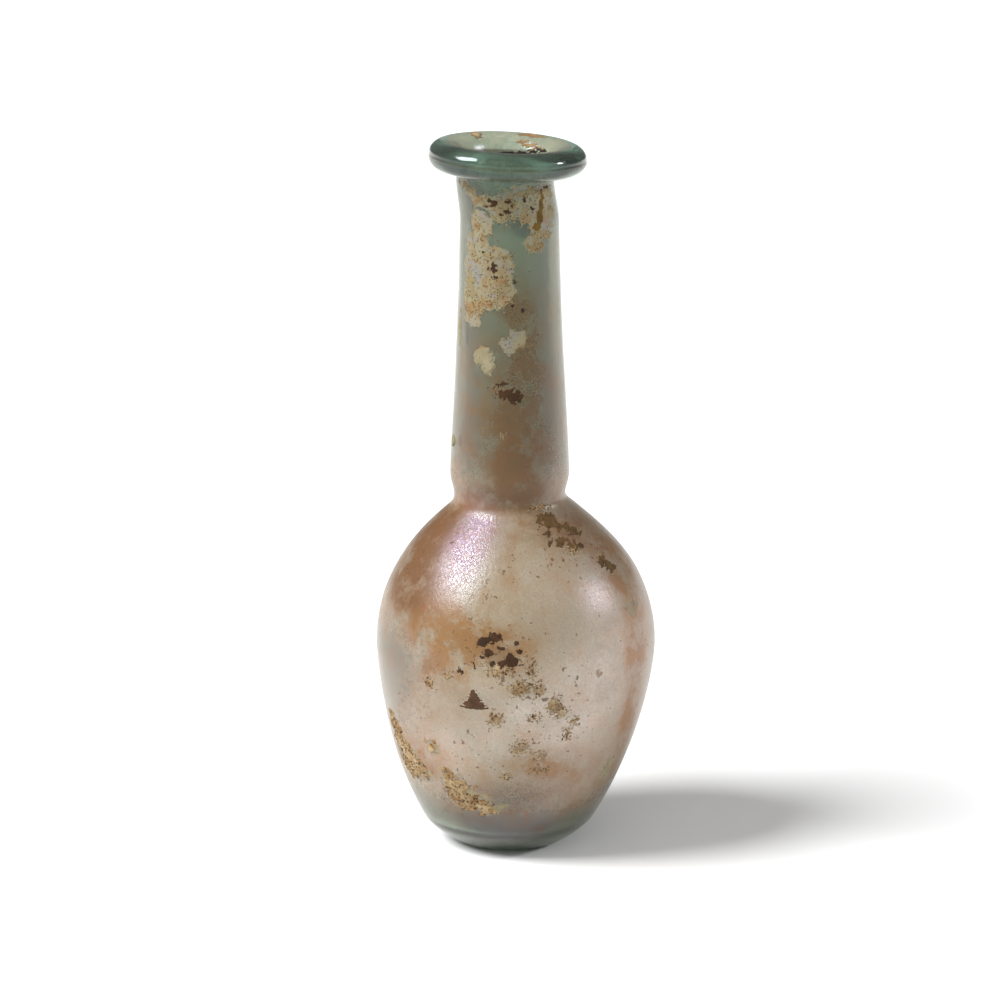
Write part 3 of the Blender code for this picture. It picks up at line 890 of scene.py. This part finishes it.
# %% Crust and soil materials
def earth_material(name, pale, deep, stain, speck, speck_share, speck_size, rim=None, window=None):
    """A matt, grainy earth: two colours in blotches, a stain, dark specks, perhaps a rim and windows."""
    material, tree = new_material(name)
    where = add(tree, "ShaderNodeTexCoord", out="Object")
    inside_by = add(tree, "ShaderNodeAttribute", {"attribute_name": "inside"}, out="Fac")
    blotch = add(tree, "ShaderNodeTexNoise", Vector=where, Scale=per_metre(2.2), Detail=6.0, Roughness=0.65)
    clump = add(tree, "ShaderNodeTexNoise", Vector=where, Scale=per_metre(5.0), Detail=4.0)
    fine = add(tree, "ShaderNodeTexNoise", Vector=where, Scale=per_metre(0.35), Detail=3.0, Roughness=0.7)
    steps = [(blotch, 0.36, 0.64, 1.0, deep), (clump, 0.50, 0.66, 0.75, stain),
             (fine, 0.55, 0.75, 0.45, deep)]
    if window:
        steps.append((clump, 0.47, 0.36, 0.85, window))
    if rim:
        steps.append((inside_by, 0.55, 0.05, 0.75, rim))
    skin = colour(pale)
    for pattern, low, high, most, tint in steps:
        share = add(tree, "ShaderNodeMapRange", SMOOTH, i0=pattern, i1=low, i2=high, i3=0.0, i4=most)
        skin = add(tree, "ShaderNodeMix", RGBA, i0=share, i6=skin, i7=colour(tint))
    specks = add(tree, "ShaderNodeTexVoronoi", Vector=where, Scale=per_metre(speck_size))
    chance = add(tree, "ShaderNodeSeparateColor", i0=specks.node.outputs["Color"])
    crowding = add(tree, "ShaderNodeMapRange", i0=clump, i1=0.3, i2=0.7, i3=1.0 - speck_share * 0.3,
                   i4=1.0 - speck_share * 2.2)
    chosen = add(tree, MATHS, {"operation": "GREATER_THAN"}, i0=chance, i1=crowding)
    spot = add(tree, "ShaderNodeMapRange", SMOOTH, i0=specks, i1=0.22, i2=0.42, i3=0.9, i4=0.0)
    share = add(tree, MATHS, TIMES, i0=chosen, i1=spot)
    skin = add(tree, "ShaderNodeMix", RGBA, i0=share, i6=skin, i7=colour(speck))
    dust = add(tree, "ShaderNodeMapRange", SMOOTH, i0=fine, i1=0.3, i2=0.7, i3=0.62, i4=0.95)
    relief = add(tree, "ShaderNodeBump", Strength=0.7, Distance=0.00010, Height=fine)
    shader = add(tree, "ShaderNodeBsdfPrincipled", Base_Color=skin, Roughness=dust, IOR=1.33, Normal=relief)
    add(tree, "ShaderNodeOutputMaterial", Surface=shader)
    return material


lime_crust = earth_material("lime_crust", "#8a7f64", "#7e7050", "#856640", "#35200f", 0.46, 0.42,
                            rim="#857a52")
clay_crust = earth_material("lime_and_clay_crust", "#ab9876", "#856844", "#6c4827", "#33200f", 0.46, 0.70,
                            rim="#8d7048")
dark_soil = earth_material("manganese_soil", "#452c14", "#36220f", "#2a190a", "#170e07", 0.25, 0.50)
# a black matt sheet, used only as painted shade of the shadowed bore inside the mouth
black_soil = earth_material("black_soil", "#20160d", "#181009", "#2b1d10", "#0d0805", 0.25, 0.40)
umber_soil = earth_material("umber_soil", "#553d28", "#432d1b", "#3a2413", "#1f1209", 0.25, 0.40)
olive_soil = earth_material("clay_soil", "#604a2a", "#4e391e", "#3f2c18", "#271a0d", 0.30, 0.60)
pale_lime = earth_material("pale_lime", "#8c836a", "#7d7458", "#7c6c4a", "#5c4226", 0.08, 0.45, rim="#80775a")
amber_stain = earth_material("amber_iron_stain", "#665016", "#4e3a0e", "#6e4a14", "#2c1a08", 0.10, 0.40)

# %% Place the crust
earth = [
    crust("neck_crust", lime_crust, [
        (-48, 130.0, 1.6, 0.8, 25, 1), (-33, 128.4, 1.8, 0.7, 30, 1), (-15, 127.6, 2.2, 0.9, 0, 1),
        (3, 128.0, 1.6, 0.9, 0, 1), (-4, 125.6, 1.8, 0.6, 0, 1), (24, 130.4, 2.2, 0.5, 0, 1),
        (52, 129.8, 1.8, 0.7, 0, 1), (20, 125.8, 0.9, 1.8, 0, 1), (56, 126.0, 0.8, 2.2, 0, 1),
        (37, 122.0, 1.6, 1.0, 0, 1), (28, 119.8, 1.5, 0.9, 0, 1), (-38, 123.0, 0.9, 1.7, -20, 1),
        (-47, 118.4, 0.8, 2.2, 0, 1), (-14, 118.2, 2.2, 0.8, 0, 1), (-52, 112.2, 1.2, 3.0, 0, 1),
        (-12, 112.6, 2.2, 1.8, 0, 1), (-44, 107.6, 2.0, 1.4, 0, 1), (-24, 109.0, 2.6, 0.7, 0, 1)],
        cell=0.14, thickness=0.06, ragged=1.3, size=0.9, edge=0.35, seed=4),
    crust("neck_amber_streak", amber_stain, [
        (46, 129.4, 0.5, 1.1, 0, 1), (43, 127.4, 0.55, 1.4, 12, 1), (38, 125.3, 0.75, 1.6, 14, 1),
        (33, 123.6, 0.8, 0.9, 10, 1)],
        cell=0.09, thickness=0.10, ragged=0.35, size=0.8, edge=0.2, seed=13),
    crust("neck_pepper", dark_soil, [
        (-20, 128.5, 0.5, 0.4, 0, 1), (-14.5, 128.0, 0.8, 0.45, -30, 1), (-25, 127.4, 0.4, 0.35, 0, 1),
        (2, 128.5, 0.5, 0.4, 0, 1), (6, 127.9, 0.4, 0.4, 0, 1), (-1, 126.6, 0.5, 0.35, 0, 1),
        (-9, 126.2, 0.4, 0.3, 0, 1), (-20, 116.0, 0.8, 0.3, -20, 1), (-19, 116.5, 0.3, 0.7, 0, 1),
        (-17.5, 115.4, 0.45, 0.5, 30, 1), (-16.5, 114.1, 0.7, 0.3, 0, 1), (-31.5, 118.8, 0.28, 0.38, 20, 1),
        (55, 130.8, 0.6, 0.35, 0, 1), (21.5, 128.9, 0.3, 0.5, 0, 1), (29, 127.1, 0.4, 0.35, 0, 1),
        (6, 113.4, 0.35, 0.3, 0, 1), (3, 108.8, 0.3, 0.4, 0, 1), (14, 107.9, 0.5, 0.25, -40, 1)],
        cell=0.07, thickness=0.10, ragged=0.35, size=0.5, edge=0.10, seed=15),
    crust("neck_flake", pale_lime, [(-29, 98.6, 2.1, 1.6, -20, 1), (-23, 96.8, 1.3, 1.2, 0, 1)],
          cell=0.10, thickness=0.10, ragged=0.7, size=1.2, edge=0.2, seed=7),
    crust("neck_left_flake", pale_lime, [(-70, 103.2, 0.8, 3.6, 0, 1)], cell=0.12, thickness=0.10, ragged=0.5,
          edge=0.15, seed=12),
    crust("neck_left_chip", pale_lime, [(-74, 80.9, 0.9, 1.2, 0, 1)], cell=0.10, thickness=0.25, ragged=0.4,
          edge=0.15, seed=14),
    crust("neck_scratches", pale_lime, [
        (-9.0, 84.0, 0.12, 0.8, 4, 1), (-6.6, 83.6, 0.12, 0.7, -6, 1), (-3.6, 84.2, 0.12, 0.6, 10, 1)],
        cell=0.05, thickness=0.02, ragged=0.06, size=0.5, edge=0.05, seed=9),
    crust("neck_dark_spot", dark_soil, [
        (-3, 91.8, 1.7, 0.9, -12, 1), (5, 91.3, 1.5, 1.2, 10, 1), (-12, 93.3, 1.4, 0.28, -25, 1)],
        cell=0.08, thickness=0.08, ragged=0.8, size=0.8, edge=0.12, seed=2),
    crust("shoulder_olive_soil", olive_soil, [
        (33, 66.9, 1.9, 1.6, 0, 1), (43, 65.6, 2.4, 0.9, 20, 1), (51, 64.6, 1.4, 0.7, 0, 1),
        (34, 63.4, 1.9, 1.0, 15, 1), (43, 62.4, 1.6, 0.9, 0, 1), (27, 65.0, 0.8, 0.5, 0, 1)],
        cell=0.10, thickness=0.06, ragged=1.3, size=1.1, edge=0.15, seed=21),
    crust("shoulder_brown_spot", olive_soil, [(57, 58.9, 1.6, 1.2, 20, 1), (61, 57.6, 1.4, 0.9, 0, 1)],
          cell=0.09, thickness=0.06, ragged=0.9, size=0.9, edge=0.12, seed=3),
    crust("belly_dark_cluster", dark_soil, [
        (-13, 47.4, 1.5, 0.8, -15, 1), (-8.5, 48.2, 1.5, 0.9, 0, 1), (0.5, 47.2, 0.5, 0.6, 20, 1),
        (-11, 45.2, 0.9, 1.0, 0, 1), (-2.0, 44.0, 1.3, 1.3, 0, 1), (-5.0, 43.4, 1.2, 0.6, 0, 1),
        (-9.5, 43.6, 0.6, 0.5, 0, 1), (1.5, 45.6, 0.4, 0.5, 0, 1), (-6.0, 46.2, 0.5, 0.3, 0, 1),
        (-13.5, 44.4, 0.4, 0.3, 0, 1), (2.4, 43.2, 0.4, 0.3, 0, 1), (-17, 43.2, 0.25, 0.8, -10, 1),
        (-22.5, 41.4, 0.6, 0.4, 0, 1)],
        cell=0.08, thickness=0.08, ragged=0.55, size=0.7, edge=0.12, seed=5),
    crust("belly_triangle", umber_soil, [
        (-17, 34.3, 2.6, 0.35, 0, 1), (-17, 34.8, 2.25, 0.4, 0, 1), (-17, 35.3, 1.9, 0.4, 0, 1),
        (-17, 35.8, 1.5, 0.4, 0, 1), (-17, 36.3, 1.15, 0.45, 0, 1), (-17, 36.9, 0.8, 0.45, 0, 1),
        (-17.5, 37.5, 0.45, 0.5, 0, 1)],
        cell=0.08, thickness=0.05, ragged=0.15, size=0.6, edge=0.12, seed=8),
    crust("lower_left_crust", clay_crust, [
        (-69, 26.6, 1.8, 2.0, 0, 1), (-66, 23.4, 2.2, 2.4, 10, 1), (-60, 21.2, 2.6, 2.6, 20, 1),
        (-60, 17.6, 3.2, 2.2, 10, 1), (-51, 18.6, 2.0, 1.4, 10, 1), (-40, 24.2, 1.2, 1.2, 0, 1),
        (-33, 18.6, 1.5, 1.8, 20, 1), (-27, 16.0, 3.0, 2.0, 25, 1), (-22, 13.4, 4.2, 1.9, 15, 1),
        (-14, 12.2, 2.2, 1.5, 20, 1)],
        cell=0.17, thickness=0.12, ragged=1.5, size=1.5, seed=17),
    crust("lower_cream_tip", pale_lime, [(-6.5, 12.6, 1.9, 0.7, -28, 1), (-9, 11.9, 1.4, 0.8, -10, 1)],
          cell=0.10, thickness=0.10, ragged=0.25, size=1.4, edge=0.15, seed=18),
    crust("right_fleck", pale_lime, [(54, 18.3, 1.0, 1.9, 20, 1)],
          cell=0.11, thickness=0.08, ragged=0.8, size=1.0, edge=0.15, seed=19),
]

# %% [markdown]
# On the belly the lime stands in loose, broken patches of grains: each patch is a scatter of small
# islands with glass between them. They take the same function with a stronger rag, one call for each
# place in a list.

# %% Broken patches of grains
broken_patches = [  # turn, height, half width, half height
    (1.8, 38.6, 1.9, 1.3), (9.5, 38.0, 1.0, 1.3), (16.0, 34.8, 1.2, 1.5), (19.0, 33.2, 1.1, 1.0),
    (-8.1, 32.2, 1.2, 1.2), (8.5, 32.6, 0.7, 0.6), (25.4, 31.0, 0.7, 0.8), (23.0, 28.0, 0.9, 0.8),
    (3.2, 26.8, 1.2, 0.5), (2.4, 25.2, 1.1, 0.4), (12.5, 24.2, 0.9, 0.6), (12.5, 21.0, 1.0, 0.4),
    (-6.5, 42.2, 2.6, 0.9), (6.0, 42.2, 0.8, 1.2), (-3.0, 19.6, 0.8, 0.6), (-29.0, 40.4, 0.7, 0.5),
    (-37.0, 38.0, 1.0, 1.0), (39.0, 62.0, 0.9, 0.6), (31.0, 69.0, 1.6, 0.7)]
for index, (turn, height, half_width, half_height) in enumerate(broken_patches):
    patch = (turn, height, half_width, half_height, 0, 1)
    earth.append(crust(f"broken_patch_{index + 1:02d}", clay_crust, [patch],
                       cell=0.08, thickness=0.07, ragged=1.6, size=0.45, edge=0.12, seed=40 + index))

# %% [markdown]
# The mouth and the back have some crust too: a cream lump inside the back wall, a reddish one on the back
# rim, and a few plain patches behind. A black band inside the back of the mouth, where it shows just over
# the front lip, is painted shade: the bore is in shadow there.

# %% Crust in the mouth and on the back
earth += [
    crust("mouth_crust", clay_crust, [
        (-145, 139.9, 0.9, 1.2, 0, 1), (155, 139.2, 1.6, 0.6, 0, 1), (160, 141.8, 0.8, 0.7, 0, 1),
        (146, 142.4, 1.6, 0.5, 0, 1)],
        cell=0.11, thickness=0.12, ragged=1.0, size=0.7, edge=0.2, seed=23),
    # painted shade: a black band where the shadowed bore shows just over the front lip
    crust("mouth_dirt", black_soil, [
        (-175, 144.4, 1.4, 0.4, 0, 1), (172, 144.3, 2.0, 0.5, 0, 1), (158, 144.1, 1.6, 0.5, 0, 1),
        (143, 143.3, 1.4, 0.3, 0, 1), (130, 142.8, 1.2, 0.3, 0, 1)],
        cell=0.11, thickness=0.08, ragged=0.5, size=0.7, edge=0.15, seed=24),
    crust("back_crust", clay_crust, [
        (150, 44.0, 5.0, 3.4, 20, 1), (168, 38.0, 4.0, 2.4, -10, 1), (-140, 20.0, 4.4, 3.0, 0, 1)],
        cell=0.22, thickness=0.12, ragged=2.2, size=2.0, seed=31),
    crust("back_neck_crust", lime_crust, [(-165, 108, 3.0, 5.0, 0, 1), (160, 122, 3.0, 3.0, 0, 1)],
          cell=0.22, thickness=0.07, ragged=1.8, size=2.0, seed=32),
]

# %% [markdown]
# ## Grains and bubbles
#
# On the crust sit loose grains of soil, a tenth or two of a millimetre across, darker than the lime.
# Inside the glass are seeds, the small bubbles that early furnaces left, drawn out upwards by the
# blowing. Both repeat hundreds of times on a surface, which is what Geometry Nodes do well: points are
# scattered on the faces, each point gets a small ball of its own size and turn, and the balls are made
# real at the end.

# %% Geometry Nodes tree that scatters small balls
def scatter_tree(name):
    """A tree that scatters small balls on a surface, with named inputs for number, size, length and depth."""
    tree = bpy.data.node_groups.new(name, "GeometryNodeTree")
    face = tree.interface
    face.new_socket("Surface", in_out="INPUT", socket_type="NodeSocketGeometry")
    for label in ("Per square metre", "Least size", "Most size", "Length", "Depth"):
        face.new_socket(label, in_out="INPUT", socket_type="NodeSocketFloat")
    face.new_socket("Seed", in_out="INPUT", socket_type="NodeSocketInt")
    face.new_socket("Stuff", in_out="INPUT", socket_type="NodeSocketMaterial")
    face.new_socket("Balls", in_out="OUTPUT", socket_type="NodeSocketGeometry")
    start = tree.nodes.new("NodeGroupInput")
    end = tree.nodes.new("NodeGroupOutput")
    seed = start.outputs["Seed"]
    spread = add(tree, "GeometryNodeDistributePointsOnFaces", Mesh=start.outputs["Surface"],
                 Density=start.outputs["Per square metre"], Seed=seed)
    sunk = add(tree, "ShaderNodeVectorMath", {"operation": "SCALE"}, i0=spread.node.outputs["Normal"],
               Scale=start.outputs["Depth"])
    placed = add(tree, "GeometryNodeSetPosition", Geometry=spread, Offset=sunk)
    size = add(tree, "FunctionNodeRandomValue", {"data_type": "FLOAT"}, i2=start.outputs["Least size"],
               i3=start.outputs["Most size"], Seed=seed)
    long_size = add(tree, MATHS, TIMES, i0=size, i1=start.outputs["Length"])
    shape = add(tree, "ShaderNodeCombineXYZ", X=size, Y=size, Z=long_size)
    ball = add(tree, "GeometryNodeMeshIcoSphere", Radius=1.0, Subdivisions=1)
    spun = add(tree, "FunctionNodeRandomValue", {"data_type": "FLOAT"}, i2=0.0, i3=2 * math.pi, Seed=seed)
    angle = add(tree, "ShaderNodeCombineXYZ", Z=spun)
    set_out = add(tree, "GeometryNodeInstanceOnPoints", Points=placed, Instance=ball, Rotation=angle,
                  Scale=shape)
    real = add(tree, "GeometryNodeRealizeInstances", i0=set_out)
    smooth = add(tree, "GeometryNodeSetShadeSmooth", i0=real)
    stuff = add(tree, "GeometryNodeSetMaterial", Geometry=smooth, Material=start.outputs["Stuff"])
    tree.links.new(stuff, end.inputs[0])
    return tree


FACES_OF_BALL = 20
scatter = scatter_tree("scattered_balls")
soil_grain = earth_material("soil_grain", "#4a2f18", "#5f3c1c", "#341d0d", "#1f1208", 0.2, 0.3)


def joined_surface(pieces, name):
    """One mesh of several pieces, for grains to sit on."""
    gathered = bmesh.new()
    for piece in pieces:
        gathered.from_mesh(piece.data)
    mesh = bpy.data.meshes.new(name)
    gathered.to_mesh(mesh)
    gathered.free()
    return mesh


grain_homes = {  # which crusts, grains per square metre, least and most radius
    "neck_grains": ("neck_crust", 0.5e6, 0.00005, 0.00012),
    "lower_grains": ("lower_left_crust", 1.6e6, 0.00007, 0.00018),
    "belly_grains": ("broken_patch", 2.6e6, 0.00005, 0.00013),
    "shoulder_grains": ("shoulder", 1.0e6, 0.00005, 0.00011),
}
for name, (home, number, least, most) in grain_homes.items():
    surface = joined_surface([piece for piece in earth if piece.name.startswith(home)], name + "_home")
    grains = grown(name, surface, scatter, {
        "Per square metre": number, "Least size": least, "Most size": most, "Length": 0.8, "Depth": 0.00002,
        "Seed": 5, "Stuff": soil_grain})
    earth.append(grains)
    print(name, "has", len(grains.data.polygons) // FACES_OF_BALL, "grains")

# %% Bubbles in the glass
air, tree = new_material("air_in_glass")
hollow = add(tree, "ShaderNodeBsdfPrincipled", Base_Color=colour("#ffffff"), Roughness=0.02, IOR=0.66,
             Transmission_Weight=1.0)
add(tree, "ShaderNodeOutputMaterial", Surface=hollow)
outer_skin = bmesh.new()
outer_skin.from_mesh(flask.data)
outer_skin.verts.ensure_lookup_table()
kept = (row_of > LIP_ROW + 4) & (row_of < len(outline) - 12)
bmesh.ops.delete(outer_skin, geom=[v for v in outer_skin.verts if not kept[v.index]], context="VERTS")
bubble_home = bpy.data.meshes.new("bubble_home")
outer_skin.to_mesh(bubble_home)
outer_skin.free()
bubbles = grown("seed_bubbles", bubble_home, scatter, {
    "Per square metre": 9000.0, "Least size": 0.00010, "Most size": 0.00028, "Length": 1.7, "Depth": -0.00085,
    "Seed": 11, "Stuff": air})
print("bubbles:", len(bubbles.data.polygons) // FACES_OF_BALL)

# %% Hand the flask to the frame and finish
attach(flask, "root")
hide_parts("flask")
for piece in earth + [bubbles]:
    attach(piece, "root")
